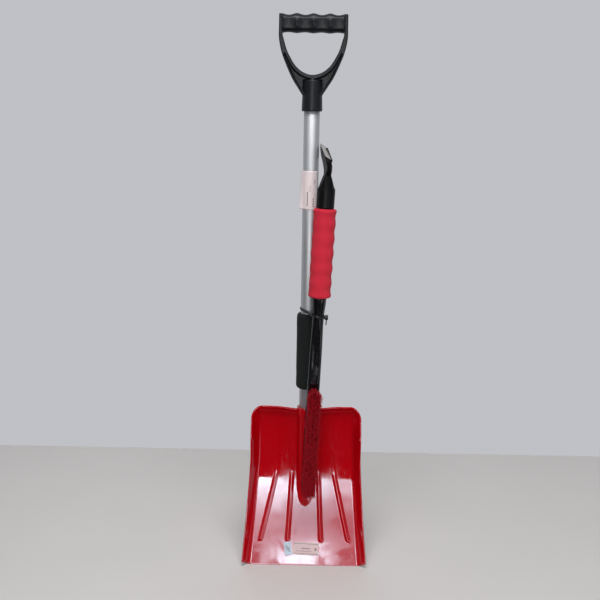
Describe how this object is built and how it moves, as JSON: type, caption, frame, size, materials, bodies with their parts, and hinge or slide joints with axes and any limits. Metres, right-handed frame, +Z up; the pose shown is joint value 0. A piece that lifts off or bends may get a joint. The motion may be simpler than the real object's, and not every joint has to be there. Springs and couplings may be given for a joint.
{
  "type": "snow shovel with brush",
  "caption": "Moulded snow shovel with ribbed scoop, tube shaft, foam sleeve and D-grip, with a snow brush and ice scraper tied along the shaft.",
  "frame": {"origin": "on the shaft's axis, under the middle of the D-grip's crossbar, where the shovel hangs", "axes": "+Z up the shaft's axis, -Y out of the front, which is the blade's hollow side, +X to the right seen from the front"},
  "size_m": [0.254, 0.1091, 1.079],
  "materials": {
    "blade_red": "glossy deep red moulded polypropylene with light scuffs",
    "shaft_aluminium": "satin anodised tube with fine drawn lines",
    "grip_black": "semi-gloss black moulded plastic",
    "tool_black": "semi-gloss black moulded plastic",
    "tie_black": "black nylon with fine ratchet serrations",
    "foam_black": "matte closed-cell foam, fine pores",
    "foam_red": "matte closed-cell foam, fine pores",
    "bristle_red": "deep red synthetic bristle tufts",
    "paper": "pale pinkish coated paper, blank",
    "patch_blue": "pale blue film, blank",
    "screw_steel": "zinc-plated steel"
  },
  "bodies": {
    "shovel": {"blade": "blade_red", "shaft_tube": "shaft_aluminium", "d_grip": "grip_black", "d_grip_screw": "screw_steel", "blade_screw_upper": "screw_steel", "blade_screw_lower": "screw_steel", "shaft_foam_grip": "foam_black", "shaft_label": "paper", "blade_sticker": "paper", "blade_sticker_patch": "patch_blue"},
    "tie": {"cable_tie": "tie_black"},
    "brush": {"scraper_head": "tool_black", "scraper_screw": "screw_steel", "brush_handle_tube": "shaft_aluminium", "brush_foam_grip": "foam_red", "brush_head": "tool_black", "bristle_row_1": "bristle_red", "bristle_row_2": "bristle_red", "bristle_row_3": "bristle_red", "bristle_row_4": "bristle_red"}
  },
  "joints": [
    {"name": "tie_slide", "type": "slide", "parent": "shovel", "child": "tie", "axis": [0, 0, 1], "range_m": [0, 0.045]},
    {"name": "brush_twist", "type": "hinge", "parent": "tie", "child": "brush", "pos_m": [0.029, -0.028, -0.3], "axis": [0.0429, 0.0132, 0.999], "range_deg": [-30, 5]}
  ]
}
